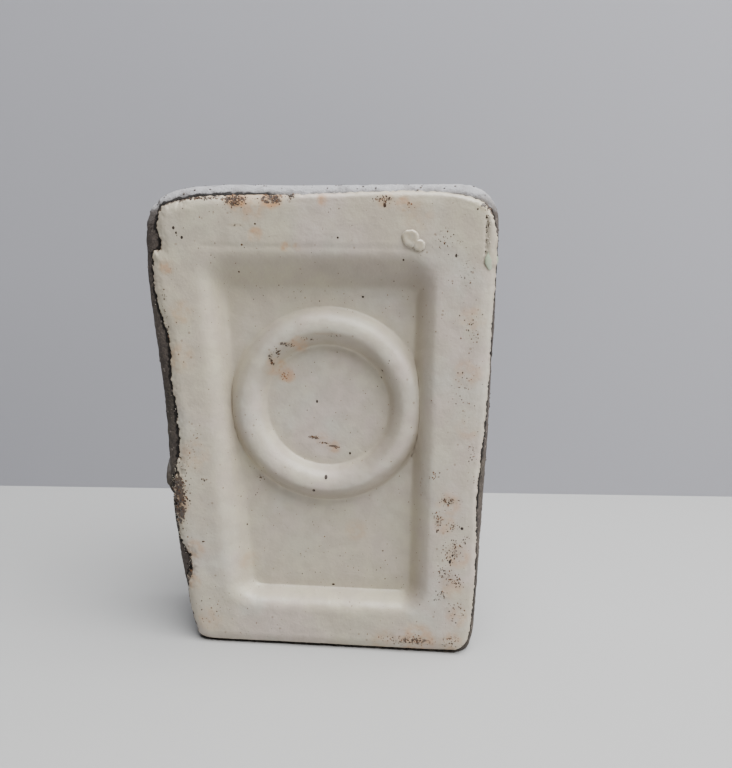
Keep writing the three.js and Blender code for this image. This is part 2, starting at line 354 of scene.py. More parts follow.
def mottle_group():
    """Cloudy patches of one size, as a mask from 0 to 1."""
    inputs = [("Size", "NodeSocketFloat", 0.01), ("Contrast", "NodeSocketFloat", 0.2),
              ("Shift", "NodeSocketFloat", 0.0)]
    group, start, end = node_group("mottle", inputs, [("Mask", "NodeSocketFloat")])
    scale = math_node(group, "DIVIDE", 1.0, start.outputs["Size"])
    inputs = {"Vector": object_place(group), "W": start.outputs["Shift"], "Scale": scale, "Detail": 4}
    cloud = add_node(group, "ShaderNodeTexNoise", inputs, noise_dimensions="4D")
    low = math_node(group, "SUBTRACT", 0.5, start.outputs["Contrast"])
    high = math_node(group, "ADD", 0.5, start.outputs["Contrast"])
    group.links.new(ramp(group, cloud.outputs["Fac"], low, high), end.inputs["Mask"])
    return group


def speckle_group():
    """Small round specks, some cells of a scattered pattern only, as a mask."""
    inputs = [("Spacing", "NodeSocketFloat", 0.003), ("Speck size", "NodeSocketFloat", 0.12),
              ("Share", "NodeSocketFloat", 0.3)]
    group, start, end = node_group("speckle", inputs, [("Mask", "NodeSocketFloat")])
    scale = math_node(group, "DIVIDE", 1.0, start.outputs["Spacing"])
    cells = add_node(group, "ShaderNodeTexVoronoi", {"Vector": object_place(group), "Scale": scale})
    split = add_node(group, "ShaderNodeSeparateColor", {0: cells.outputs["Color"]})
    chosen = math_node(group, "LESS_THAN", split.outputs[0], start.outputs["Share"])
    reach = math_node(group, "MULTIPLY", start.outputs["Speck size"], split.outputs[1])
    near = math_node(group, "MULTIPLY", reach, 0.55)
    inside = math_node(group, "SUBTRACT", 1.0, ramp(group, cells.outputs["Distance"], near, reach))
    group.links.new(math_node(group, "MULTIPLY", inside, chosen), end.inputs["Mask"])
    return group


def surface_group():
    """Height of a fine surface: broad softness plus a small grain."""
    inputs = [("Broad size", "NodeSocketFloat", 0.004), ("Fine size", "NodeSocketFloat", 0.0008),
              ("Fine share", "NodeSocketFloat", 0.4)]
    group, start, end = node_group("fine surface", inputs, [("Height", "NodeSocketFloat")])
    heights = []
    for label in ("Broad size", "Fine size"):
        scale = math_node(group, "DIVIDE", 1.0, start.outputs[label])
        inputs = {"Vector": object_place(group), "Scale": scale, "Detail": 5}
        cloud = add_node(group, "ShaderNodeTexNoise", inputs)
        heights.append(cloud.outputs["Fac"])
    fine = math_node(group, "MULTIPLY", heights[1], start.outputs["Fine share"])
    group.links.new(math_node(group, "ADD", heights[0], fine), end.inputs["Height"])
    return group


MOTTLE = mottle_group()
SPECKLE = speckle_group()
SURFACE = surface_group()


def use_group(tree, group, **values):
    """Places a group and sets its inputs; Speck_size stands for Speck size."""
    inputs = {label.replace("_", " "): value for label, value in values.items()}
    return add_node(tree, "ShaderNodeGroup", inputs, node_tree=group).outputs[0]


def attribute(tree, name):
    return add_node(tree, "ShaderNodeAttribute", attribute_name=name).outputs["Fac"]


def new_material(name, roughness, coat=0.0, coat_roughness=0.1, specular=0.5):
    material = bpy.data.materials.new(name)
    material.use_nodes = True
    shader = material.node_tree.nodes["Principled BSDF"]
    shader.inputs["Roughness"].default_value = roughness
    shader.inputs["Coat Weight"].default_value = coat
    shader.inputs["Coat Roughness"].default_value = coat_roughness
    shader.inputs["Specular IOR Level"].default_value = specular
    return material, material.node_tree, shader


def add_bump(tree, shader, height, distance):
    bump = add_node(tree, "ShaderNodeBump", {"Strength": 1.0, "Distance": distance, "Height": height})
    tree.links.new(bump.outputs["Normal"], shader.inputs["Normal"])


def cloudy(tree, size, contrast, shift):
    """The mottle group's mask, of clouds of this size."""
    return use_group(tree, MOTTLE, Size=size, Contrast=contrast, Shift=shift)


def tint(tree, colour, mask, share, other):
    """Lays another colour over the ones so far, where the mask says and at this share."""
    return mix_colour(tree, math_node(tree, "MULTIPLY", mask, share), colour, other)


def broken(tree, name, mask, more):
    """A painted mask broken up by a cloudy one."""
    share = math_node(tree, "ADD", mask, more)
    return math_node(tree, "MULTIPLY", attribute(tree, name), share, clamp=True)


def white_glaze():
    """Thick satin off-white glaze: cloudy, yellower where it pools, stained, speckled."""
    material, tree, shader = new_material("white_glaze", 0.42, coat=0.15, coat_roughness=0.26)
    cool, warm = (0.475, 0.45, 0.39, 1), (0.49, 0.445, 0.355, 1)
    pink, honey, sallow = (0.485, 0.405, 0.36, 1), (0.46, 0.405, 0.295, 1), (0.46, 0.415, 0.30, 1)
    thin_glaze_shade, dusky, fleck = (0.27, 0.23, 0.18, 1), (0.37, 0.315, 0.26, 1), (0.25, 0.19, 0.14, 1)
    rust, toasted, charred = (0.45, 0.24, 0.11, 1), (0.30, 0.20, 0.11, 1), (0.05, 0.034, 0.026, 1)

    colour = mix_colour(tree, cloudy(tree, 0.022, 0.1, 0.0), cool, warm)
    colour = tint(tree, colour, cloudy(tree, 0.012, 0.1, 3.0), 0.75, pink)
    colour = tint(tree, colour, attribute(tree, "pooled"), 0.55, honey)
    # Painted shade, partly thinner glaze: brown on walls that face down or to the left.
    colour = tint(tree, colour, attribute(tree, "thin_glaze_and_shade"), 0.75, thin_glaze_shade)
    colour = tint(tree, colour, cloudy(tree, 0.034, 0.07, 9.0), 0.6, sallow)
    colour = tint(tree, colour, cloudy(tree, 0.005, 0.12, 12.0), 0.42, dusky)
    freckles = use_group(tree, SPECKLE, Spacing=0.0027, Speck_size=0.19, Share=0.36)
    colour = tint(tree, colour, freckles, 0.7, fleck)
    stains = broken(tree, "rust", cloudy(tree, 0.0026, 0.13, 7.0), 0.25)
    colour = tint(tree, colour, stains, 0.95, rust)

    thin = attribute(tree, "thin")
    crumbly = math_node(tree, "ADD", cloudy(tree, 0.0011, 0.1, 1.0), 0.5)
    worn = ramp(tree, math_node(tree, "MULTIPLY", thin, crumbly), 0.5, 0.8)
    colour = tint(tree, colour, thin, 0.55, toasted)
    colour = tint(tree, colour, worn, 0.92, charred)
    tree.links.new(colour, shader.inputs["Base Color"])

    dull = math_node(tree, "MULTIPLY", cloudy(tree, 0.006, 0.2, 5.0), 0.18)
    tree.links.new(math_node(tree, "ADD", 0.36, dull), shader.inputs["Roughness"])
    height = use_group(tree, SURFACE, Broad_size=0.0045, Fine_size=0.0008, Fine_share=0.3)
    add_bump(tree, shader, height, 0.32 * MM)
    return material


def drop_glaze(name, shallow, thick, roughness, deep=None):
    """Glaze that has run or dropped: glossier than the coat, and deep where it is thick."""
    fleck = (0.3, 0.22, 0.14, 1)
    material, tree, shader = new_material(name, roughness, coat=0.6, coat_roughness=0.08)
    colour = mix_colour(tree, cloudy(tree, 0.0016, 0.2, 0.0), shallow, thick)
    if deep:
        colour = mix_colour(tree, attribute(tree, "deep"), colour, deep)
    freckles = use_group(tree, SPECKLE, Spacing=0.0011, Speck_size=0.22, Share=0.3)
    colour = tint(tree, colour, freckles, 0.4, fleck)
    tree.links.new(colour, shader.inputs["Base Color"])
    height = use_group(tree, SURFACE, Broad_size=0.0016, Fine_size=0.0005, Fine_share=0.1)
    add_bump(tree, shader, height, 0.15 * MM)
    return material


def bare_clay():
    """Dark iron-bearing stoneware, coarse and matt, paler where it faces up: pale dust with a painted
    sheen.
    """
    material, tree, shader = new_material("bare_clay", 0.92, specular=0.3)
    dark, light, plum = (0.064, 0.054, 0.044, 1), (0.122, 0.104, 0.083, 1), (0.098, 0.078, 0.074, 1)
    pore, sand, dust_and_sheen = (0.032, 0.027, 0.026, 1), (0.33, 0.29, 0.25, 1), (0.34, 0.335, 0.345, 1)
    near_black = (0.012, 0.010, 0.009, 1)

    colour = mix_colour(tree, cloudy(tree, 0.009, 0.18, 0.0), dark, light)
    colour = tint(tree, colour, cloudy(tree, 0.02, 0.12, 4.0), 0.5, plum)
    colour = tint(tree, colour, cloudy(tree, 0.0009, 0.14, 2.0), 0.5, pore)
    grains = use_group(tree, SPECKLE, Spacing=0.0017, Speck_size=0.3, Share=0.35)
    colour = tint(tree, colour, grains, 0.5, sand)
    # Paler where the clay faces up: part dust, part painted sheen of the light from above.
    dust_and_sheen_mask = broken(tree, "dust_and_sheen", cloudy(tree, 0.004, 0.3, 6.0), 0.55)
    colour = mix_colour(tree, dust_and_sheen_mask, colour, dust_and_sheen)

    # Darker, nearly black clay in a band beside the glaze's edge, broken up by clouds.
    flaky = math_node(tree, "ADD", cloudy(tree, 0.0022, 0.25, 8.0), 0.5)
    darkened_band = math_node(tree, "MULTIPLY", attribute(tree, "rim"), flaky)
    colour = tint(tree, colour, ramp(tree, darkened_band, 0.2, 0.75), 0.94, near_black)
    tree.links.new(colour, shader.inputs["Base Color"])
    height = use_group(tree, SURFACE, Broad_size=0.0022, Fine_size=0.0006, Fine_share=0.7)
    add_bump(tree, shader, height, 0.5 * MM)
    return material


def grit_clay():
    """The grains of grit in the clay: each grain its own shade."""
    material, tree, shader = new_material("clay_grit", 0.85, specular=0.3)
    dark, light, pore = (0.045, 0.037, 0.035, 1), (0.20, 0.17, 0.15, 1), (0.03, 0.026, 0.024, 1)
    colour = mix_colour(tree, attribute(tree, "shade"), dark, light)
    colour = tint(tree, colour, cloudy(tree, 0.0005, 0.2, 0.0), 0.4, pore)
    tree.links.new(colour, shader.inputs["Base Color"])
    height = use_group(tree, SURFACE, Broad_size=0.0006, Fine_size=0.0002, Fine_share=0.5)
    add_bump(tree, shader, height, 0.1 * MM)
    return material


def iron_spot():
    """Iron that has burnt through the glaze, from black to rust orange."""
    material, tree, shader = new_material("iron_spot", 0.5, specular=0.4)
    black, orange, brown = (0.016, 0.012, 0.010, 1), (0.27, 0.115, 0.04, 1), (0.09, 0.05, 0.03, 1)
    colour = mix_colour(tree, attribute(tree, "shade"), black, orange)
    colour = tint(tree, colour, cloudy(tree, 0.0004, 0.2, 0.0), 0.35, brown)
    tree.links.new(colour, shader.inputs["Base Color"])
    return material


GLAZE = white_glaze()
CREAM = drop_glaze("cream_glaze", (0.43, 0.365, 0.265, 1), (0.47, 0.43, 0.345, 1), 0.28)
GREEN = drop_glaze(
    "green_glaze", (0.47, 0.455, 0.40, 1), (0.52, 0.51, 0.45, 1), 0.16, deep=(0.36, 0.415, 0.30, 1))
CLAY = bare_clay()
GRIT = grit_clay()
IRON = iron_spot()


# ---------------------------------------------------------------- geometry trees
def geometry_tree(name, inputs):
    tree = bpy.data.node_groups.new(name, "GeometryNodeTree")
    tree.interface.new_socket("Geometry", in_out="INPUT", socket_type="NodeSocketGeometry")
    for label, kind in inputs:
        tree.interface.new_socket(label, in_out="INPUT", socket_type=kind)
    tree.interface.new_socket("Geometry", in_out="OUTPUT", socket_type="NodeSocketGeometry")
    return tree, tree.nodes.new("NodeGroupInput"), tree.nodes.new("NodeGroupOutput")


def run_tree(piece, tree, values):
    """Puts a tree on a piece, sets its inputs by their identifiers and applies it."""
    modifier = piece.modifiers.new(tree.name, "NODES")
    modifier.node_group = tree
    for item in tree.interface.items_tree:
        if item.in_out == "INPUT" and item.name in values:
            modifier[item.identifier] = values[item.name]
    return apply_modifiers(piece)


def position(tree):
    return add_node(tree, "GeometryNodeInputPosition").outputs[0]


def named_value(tree, name, kind):
    """A value painted on the geometry."""
    node = add_node(tree, "GeometryNodeInputNamedAttribute", {"Name": name}, data_type=kind)
    return next(s for s in node.outputs if s.enabled and s.name == "Attribute")


def finish_tree(tree, end, geometry, material):
    """Gives the geometry its material and hands it out."""
    dressed = add_node(tree, "GeometryNodeSetMaterial", {"Geometry": geometry, "Material": material})
    tree.links.new(dressed.outputs["Geometry"], end.inputs[0])


def lumps(tree, size, depth, seed):
    """Noise of one lump size, from minus depth to plus depth."""
    scale = math_node(tree, "DIVIDE", 1.0, size)
    inputs = {"Vector": position(tree), "W": seed, "Scale": scale, "Detail": 3}
    cloud = add_node(tree, "ShaderNodeTexNoise", inputs, noise_dimensions="4D")
    centred = math_node(tree, "SUBTRACT", cloud.outputs["Fac"], 0.5)
    return math_node(tree, "MULTIPLY", math_node(tree, "MULTIPLY", centred, 2.4), depth)


def pits(tree, spacing, depth):
    """Small round holes, in the cells that their colour picks out."""
    scale = math_node(tree, "DIVIDE", 1.0, spacing)
    cells = add_node(tree, "ShaderNodeTexVoronoi", {"Vector": position(tree), "Scale": scale})
    split = add_node(tree, "FunctionNodeSeparateColor", {0: cells.outputs["Color"]})
    chosen = math_node(tree, "LESS_THAN", split.outputs[0], 0.45)
    wide = math_node(tree, "MULTIPLY", split.outputs[1], 0.34)
    hollow = math_node(tree, "SUBTRACT", 1.0, ramp(tree, cells.outputs["Distance"], 0.04, wide))
    return math_node(tree, "MULTIPLY", math_node(tree, "MULTIPLY", hollow, chosen), depth)


def roughen_tree():
    """Swells, coarse grain and pits on a clay surface, kept above the foot."""
    inputs = [(label, "NodeSocketFloat") for label in (*CLAY_SKIN, "Seed")]
    tree, start, end = geometry_tree("roughen clay", inputs + [("Material", "NodeSocketMaterial")])
    given = start.outputs
    height = lumps(tree, given["Swell size"], given["Swell depth"], given["Seed"])
    for size, depth in (("Lump size", "Lump depth"), ("Grain size", "Grain depth")):
        height = math_node(tree, "ADD", height, lumps(tree, given[size], given[depth], given["Seed"]))
    height = math_node(tree, "SUBTRACT", height, pits(tree, given["Pit spacing"], given["Pit depth"]))
    normal = add_node(tree, "GeometryNodeInputNormal").outputs[0]
    offset = add_node(tree, "ShaderNodeVectorMath", {0: normal, "Scale": height}, operation="SCALE")
    moved = add_node(tree, "GeometryNodeSetPosition", {
        "Geometry": given["Geometry"], "Offset": offset.outputs[0]})
    split = add_node(tree, "ShaderNodeSeparateXYZ", {0: position(tree)})
    above = math_node(tree, "MAXIMUM", split.outputs["Z"], 0.0)
    join = add_node(tree, "ShaderNodeCombineXYZ", {
        "X": split.outputs["X"], "Y": split.outputs["Y"], "Z": above})
    kept = add_node(tree, "GeometryNodeSetPosition", {
        "Geometry": moved.outputs["Geometry"], "Position": join.outputs[0]})
    finish_tree(tree, end, kept.outputs["Geometry"], given["Material"])
    return tree


def seeded_number(tree, low, high, seed, offset):
    node = add_node(tree, "FunctionNodeRandomValue", data_type="FLOAT")
    for label, value in (("Min", low), ("Max", high)):
        feed(tree, next(s for s in node.inputs if s.name == label and s.type == "VALUE"), value)
    tree.links.new(math_node(tree, "ADD", seed, offset), node.inputs["Seed"])
    return next(s for s in node.outputs if s.enabled and s.type == "VALUE")


def unit_ball(tree):
    return add_node(tree, "GeometryNodeMeshIcoSphere", {"Radius": 1.0, "Subdivisions": 2}).outputs["Mesh"]


def scatter_tree():
    """Small rounded grains sown over the painted part of a surface."""
    inputs = [("Grains per square metre", "NodeSocketFloat"), ("Smallest", "NodeSocketFloat"),
              ("Largest", "NodeSocketFloat"), ("Flatness", "NodeSocketFloat"),
              ("Seed", "NodeSocketInt"), ("Material", "NodeSocketMaterial")]
    tree, start, end = geometry_tree("sow grains", inputs)
    given = start.outputs
    shown = named_value(tree, "sown", "FLOAT")
    density = math_node(tree, "MULTIPLY", shown, given["Grains per square metre"])
    sown = add_node(tree, "GeometryNodeDistributePointsOnFaces", {
        "Mesh": given["Geometry"], "Density": density, "Seed": given["Seed"]})
    size = seeded_number(tree, given["Smallest"], given["Largest"], given["Seed"], 1)
    across = seeded_number(tree, 0.7, 1.3, given["Seed"], 2)
    scale = add_node(tree, "ShaderNodeCombineXYZ", {
        "X": size, "Y": math_node(tree, "MULTIPLY", size, across),
        "Z": math_node(tree, "MULTIPLY", size, given["Flatness"])})
    placed = add_node(tree, "GeometryNodeInstanceOnPoints", {
        "Points": sown.outputs["Points"], "Instance": unit_ball(tree),
        "Rotation": sown.outputs["Rotation"], "Scale": scale.outputs[0]})
    shaded = add_node(tree, "GeometryNodeStoreNamedAttribute", {
        "Name": "shade", "Geometry": placed.outputs["Instances"]}, data_type="FLOAT", domain="INSTANCE")
    shade = seeded_number(tree, 0.0, 1.0, given["Seed"], 3)
    tree.links.new(shade, next(s for s in shaded.inputs if s.name == "Value" and s.enabled))
    real = add_node(tree, "GeometryNodeRealizeInstances", {"Geometry": shaded.outputs["Geometry"]})
    finish_tree(tree, end, real.outputs["Geometry"], given["Material"])
    return tree


def spot_tree():
    """A flat round spot on each point, as large as its painted size and facing out."""
    tree, start, end = geometry_tree(
        "iron spots", [("Thickness", "NodeSocketFloat"), ("Material", "NodeSocketMaterial")])
    given = start.outputs
    size, stretch = (named_value(tree, name, "FLOAT") for name in ("size", "stretch"))
    points = add_node(tree, "GeometryNodeMeshToPoints", {"Mesh": given["Geometry"]})
    turned = add_node(tree, "FunctionNodeAlignRotationToVector", {
        "Vector": named_value(tree, "facing", "FLOAT_VECTOR")}, axis="Z")
    scale = add_node(tree, "ShaderNodeCombineXYZ", {
        "X": size, "Y": math_node(tree, "MULTIPLY", size, stretch), "Z": given["Thickness"]})
    placed = add_node(tree, "GeometryNodeInstanceOnPoints", {
        "Points": points.outputs["Points"], "Instance": unit_ball(tree),
        "Rotation": turned.outputs["Rotation"], "Scale": scale.outputs[0]})
    real = add_node(tree, "GeometryNodeRealizeInstances", {"Geometry": placed.outputs["Instances"]})
    finish_tree(tree, end, real.outputs["Geometry"], given["Material"])
    return tree


ROUGHEN = roughen_tree()
SOW = scatter_tree()
SPOTS = spot_tree()


# ---------------------------------------------------------------- the clay
def merged_copy(node, name):
    """A copy of a CAD node's mesh with its loose triangles joined."""
    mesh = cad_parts[node].data.copy()
    mesh.name = name
    mesh.materials.clear()
    work = bmesh.new()
    work.from_mesh(mesh)
    bmesh.ops.remove_doubles(work, verts=work.verts, dist=1e-6)
    work.to_mesh(mesh)
    work.free()
    return mesh


def roughen(piece, voxel, seed, swell=CLAY_SKIN["Swell depth"]):
    remesh = piece.modifiers.new("even skin", "REMESH")
    remesh.mode = "VOXEL"
    remesh.voxel_size = voxel
    apply_modifiers(piece)
    run_tree(piece, ROUGHEN, {**CLAY_SKIN, "Swell depth": swell, "Seed": seed, "Material": CLAY})
    return shade_smooth(piece)


def make_body(face):
    piece = new_piece("clay_body", merged_copy("stoneware_body", "clay_body"))
    body = roughen(piece, BODY_VOXEL, 2.0)
    points, normals = points_of(body.data), normals_of(body.data)
    x, behind, z = points[:, 0], points[:, 1] - CLAY_Y, points[:, 2]
    near_front = 1 - smooth_step(behind, *DARK_EDGE_BACK)
    near_edge = 1 - smooth_step(-face.edge(x, z), *DARK_EDGE_OUT)
    clean_top = smooth_step(z, 143 * MM, 146 * MM) * smooth_step(x, -20 * MM, -6 * MM)
    # The upward-facing mask carries dust and painted sheen of the light from above.
    paint(body.data, "dust_and_sheen", smooth_step(normals[:, 2], 0.15, 0.8))
    # Near the front, a band of clay beside the glaze's edge is darkened nearly black.
    paint(body.data, "rim", (1 - clean_top) * near_front * near_edge)
    return body


def make_lump():
    low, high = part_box("clay_lump")
    centre = (low + high) / 2
    ball = bmesh.new()
    bmesh.ops.create_icosphere(ball, subdivisions=4, radius=1.0)
    reach = Vector((high.x - low.x, high.y - low.y, high.z - low.z)) / 2
    bmesh.ops.scale(ball, vec=(reach.x * 1.7, reach.y * 1.02, reach.z * 1.05), verts=ball.verts)
    middle = Vector((low.x + reach.x * 1.7, centre.y, centre.z))
    bmesh.ops.translate(ball, vec=middle, verts=ball.verts)
    mesh = bpy.data.meshes.new("side_lump")
    ball.to_mesh(mesh)
    ball.free()
    lump = roughen(new_piece("side_lump", mesh), LUMP_VOXEL, 5.0, swell=LUMP_SWELL)
    # Half as much dust and painted sheen on the lump's upward faces.
    paint(lump.data, "dust_and_sheen", 0.5 * smooth_step(normals_of(lump.data)[:, 2], 0.1, 0.9))
    return lump


# ---------------------------------------------------------------- the glaze
def closed_curve(corners, steps=5):
    """A smooth closed line through given points (a Catmull-Rom curve)."""
    corners = np.array(corners, float) * MM
    line = []
    for i in range(len(corners)):
        p0, p1, p2, p3 = (corners[(i + k) % len(corners)] for k in (-1, 0, 1, 2))
        for t in np.arange(steps) / steps:
            line.append(0.5 * (2 * p1 + (p2 - p0) * t + (2 * p0 - 5 * p1 + 4 * p2 - p3) * t ** 2
                               + (3 * p1 - p0 - 3 * p2 + p3) * t ** 3))
    return np.array(line)


def distance_inside(x, z, line):
    """How far inside a closed line each point lies; negative outside it."""
    nearest = np.full(x.shape, np.inf)
    inside = np.zeros(x.shape, bool)
    for (ax, az), (bx, bz) in zip(line, np.roll(line, -1, axis=0)):
        dx, dz = bx - ax, bz - az
        t = np.clip(((x - ax) * dx + (z - az) * dz) / (dx * dx + dz * dz), 0, 1)
        nearest = np.minimum(nearest, np.hypot(x - ax - t * dx, z - az - t * dz))
        if az != bz:
            inside ^= ((az > z) != (bz > z)) & (x < dx * (z - az) / dz + ax)
    return np.where(inside, nearest, -nearest)


def soften(field, reach):
    """Blurs a field on the net; reach is in net steps."""
    half = int(math.ceil(3 * reach))
    weights = np.exp(-0.5 * (np.arange(-half, half + 1) / reach) ** 2)
    weights /= weights.sum()
    for axis in (0, 1):
        pad = [(half, half) if a == axis else (0, 0) for a in (0, 1)]
        wide = np.pad(field, pad, mode="edge")
        count = field.shape[axis]
        field = sum(w * np.take(wide, range(i, i + count), axis) for i, w in enumerate(weights))
    return field


def face_depth(x, z):
    """How far back the clay lies behind each point of the grid."""
    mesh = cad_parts["stoneware_body"].data
    tree = BVHTree.FromPolygons([v.co for v in mesh.vertices], [f.vertices for f in mesh.polygons])
    start, ahead = BODY_LOW.y - 0.05, Vector((0, 1, 0))
    depth = np.full(x.shape, CLAY_Y + EDGE_DROP)
    for row in range(x.shape[0]):
        for column in range(x.shape[1]):
            hit = tree.ray_cast(Vector((x[row, column], start, z[row, column])), ahead)[0]
            if hit is not None:
                depth[row, column] = min(hit.y, CLAY_Y + 3 * EDGE_DROP)
    return depth


def raggedness(x, z):
    """How torn the edge is: most on the lower left, least along the foot."""
    left = smooth_step(-x, 30 * MM, 42 * MM)
    lower = smooth_step(z, 16 * MM, 26 * MM) * (1 - smooth_step(z, 62 * MM, 68 * MM))
    foot = 1 - smooth_step(z, 2 * MM, 9 * MM)
    return (0.45 + 0.4 * left + 1.1 * left * lower) * (1 - 0.8 * foot)


def band(values, low, high, soft):
    """1 between two values, 0 outside them, soft at both ends."""
    rise = smooth_step(values, low - soft, low + soft)
    fall = smooth_step(values, high - soft, high + soft)
    return rise * (1 - fall)


class GlazeFace:
    """The glaze laid out on a net: where the clay is and how thick the coat lies."""

    def __init__(self):
        self.grid_x = np.arange(BODY_LOW.x - GRID, BODY_HIGH.x + GRID, GRID)
        self.grid_z = np.arange(GLAZE_FOOT, BODY_HIGH.z + GRID, GRID)
        raw = face_depth(*np.meshgrid(self.grid_x, self.grid_z))
        self.clay = soften(raw, SOFTENING / GRID)
        self.pooling = soften(raw, 5 * SOFTENING / GRID) - self.clay
        along_z, along_x = np.gradient(self.clay, GRID)
        normal = np.stack([along_x, -np.ones_like(along_x), along_z], axis=-1)
        self.normal = normal / np.linalg.norm(normal, axis=-1, keepdims=True)
        self.line = closed_curve(GLAZE_EDGE)

    def at(self, field, x, z):
        """The field's value between the points of the grid."""
        column = np.clip((np.asarray(x) - self.grid_x[0]) / GRID, 0, len(self.grid_x) - 1.001)
        row = np.clip((np.asarray(z) - self.grid_z[0]) / GRID, 0, len(self.grid_z) - 1.001)
        c, r = column.astype(int), row.astype(int)
        u, v = column - c, row - r
        if field.ndim == 3:
            u, v = u[..., None], v[..., None]
        near = field[r, c] * (1 - u) + field[r, c + 1] * u
        far = field[r + 1, c] * (1 - u) + field[r + 1, c + 1] * u
        return near * (1 - v) + far * v

    def edge(self, x, z):
        """How far inside the torn edge a point lies; negative on bare clay."""
        tear = 0.5 * MM * grain(x, z, 2.8 * MM, 1.0) + 0.6 * MM * grain(x, z, 0.9 * MM, 2.0, 2)
        return distance_inside(x, z, self.line) + tear * raggedness(x, z)

    def thickness(self, x, z, edge):
        """A step at the edge that grows to the full coat; below the clay beyond it."""
        rolled = np.maximum(smooth_step(x, 42 * MM, 48 * MM), smooth_step(z, 138 * MM, 143 * MM))
        rolled = rolled * smooth_step(x, -14 * MM, -2 * MM)
        step = EDGE_STEP * (1 + ROLL_STEP * rolled)
        inward = np.clip(edge, 0, None)
        rise = np.sin(np.clip(inward / EDGE_REACH, 0, 1) * math.pi / 2)
        coat = step * smooth_step(inward, -0.1 * MM, 0.4 * MM) + (COAT - step) * rise
        coat = np.where(edge > 0, coat, 1.4 * edge)
        swell = sum(height * grain(x, z, size, seed) for size, height, seed in COAT_SWELLS)
        roll = ROLL_HEIGHT * rolled * ridge(edge, ROLL_INSET, ROLL_WIDTH)
        beside = band(z, SEAM_LOW * MM, SEAM_HIGH * MM, 0.8 * MM)
        lip = SEAM_LIP * beside * smooth_step(x, (SEAM_X + 0.1) * MM, (SEAM_X + 0.9) * MM)
        stitches = 0.35 + 0.65 * np.cos(z * math.pi / SEAM_STITCH) ** 4
        seam = SEAM_DEPTH * beside * stitches * ridge(x, SEAM_X * MM, SEAM_WIDTH)
        across = band(x, CREASE_LEFT * MM, CREASE_RIGHT * MM, 2 * MM)
        crease = CREASE_DEPTH * across * ridge(z, CREASE_Z * MM, CREASE_WIDTH)
        solid = smooth_step(inward, 0, 1 * MM)
        return coat + solid * (swell - COAT_SETTLE + roll + lip - seam - crease)

    def place(self, x, z, thick):
        """The points that lie this thick above the clay."""
        clay = np.stack([x, self.at(self.clay, x, z), z], axis=-1)
        return clay + self.at(self.normal, x, z) * thick[..., None]

    def net(self):
        """Crossings of the glaze's own net, closer together near its upright edges."""
        columns = np.concatenate([
            np.arange(BODY_LOW.x, FINE_LEFT, NET_FINE), np.arange(FINE_LEFT, FINE_RIGHT, NET_WIDE),
            np.arange(FINE_RIGHT, BODY_HIGH.x + NET_FINE, NET_FINE)])
        rows = np.arange(GLAZE_FOOT, BODY_HIGH.z + NET_RISE, NET_RISE)
        return np.meshgrid(columns, rows)


def joined_cells(keep):
    """Fills cells that would meet another only at a corner."""
    for _ in range(4):
        rising = keep[:-1, :-1] & keep[1:, 1:] & ~keep[:-1, 1:] & ~keep[1:, :-1]
        keep[:-1, 1:] |= rising
        falling = keep[:-1, 1:] & keep[1:, :-1] & ~keep[:-1, :-1] & ~keep[1:, 1:]
        keep[:-1, :-1] |= falling
    return keep


def shell(name, front, back, keep):
    """A closed mesh between two sheets of points, over the kept cells of the net."""
    number = np.arange(front.shape[0] * front.shape[1]).reshape(front.shape[:2])
    r, c = np.nonzero(keep)
    ring = [number[r, c], number[r, c + 1], number[r + 1, c + 1], number[r + 1, c]]
    faces = list(np.stack(ring, axis=1))
    faces += list(np.stack([corner + number.size for corner in ring[::-1]], axis=1))
    beyond = np.pad(keep, 1)
    sides = [((-1, 0), (0, 0), (0, 1)), ((0, 1), (0, 1), (1, 1)),
             ((1, 0), (1, 1), (1, 0)), ((0, -1), (1, 0), (0, 0))]
    for (dr, dc), (ar, ac), (br, bc) in sides:
        open_side = ~beyond[r + 1 + dr, c + 1 + dc]
        a = number[r[open_side] + ar, c[open_side] + ac]
        b = number[r[open_side] + br, c[open_side] + bc]
        faces += list(np.stack([b, a, a + number.size, b + number.size], axis=1))
    faces = np.array(faces)
    points = np.concatenate([front.reshape(-1, 3), back.reshape(-1, 3)])
    used, faces = np.unique(faces, return_inverse=True)
    mesh = mesh_from(name, points[used], faces.reshape(-1, 4))
    return mesh, used >= number.size


def thin_out_back(piece, is_back, share):
    """Leaves the hidden back of the coat with far fewer faces than its front."""
    group = piece.vertex_groups.new(name="back")
    group.add([int(i) for i in np.nonzero(is_back)[0]], 1.0, "REPLACE")
    fewer = piece.modifiers.new("fewer", "DECIMATE")
    fewer.ratio = share
    fewer.vertex_group = "back"
    apply_modifiers(piece)
    piece.vertex_groups.clear()


def make_glaze(face):
    x, z = face.net()
    edge = face.edge(x, z)
    front = face.place(x, z, face.thickness(x, z, edge))
    front[..., 2] = np.maximum(front[..., 2], GLAZE_LOW)
    back = face.place(x, z, np.full(x.shape, -SUNK_DEPTH))
    back[..., 2] = np.clip(back[..., 2], GLAZE_LOW, BODY_HIGH.z - SUNK_DEPTH)
    corner = edge > -SUNK_MARGIN
    keep = corner[:-1, :-1] & corner[1:, :-1] & corner[:-1, 1:] & corner[1:, 1:]
    mesh, is_back = shell("glaze_coat", front, back, joined_cells(keep))
    coat = new_piece("glaze_coat", mesh)
    thin_out_back(coat, is_back, BACK_SHARE)
    mesh = coat.data
    mesh.materials.append(GLAZE)
    shade_smooth(coat)
    paint_glaze(mesh, face)
    return coat


def patches(x, z, list_of_patches):
    """The strongest of a list of soft-edged oval patches at each point."""
    mask = np.zeros(x.shape)
    for at_x, at_z, wide, tall, strength in list_of_patches:
        away = np.hypot((x - at_x * MM) / (wide * MM), (z - at_z * MM) / (tall * MM))
        mask = np.maximum(mask, strength * (1 - smooth_step(away, 0.45, 1.0)))
    return mask


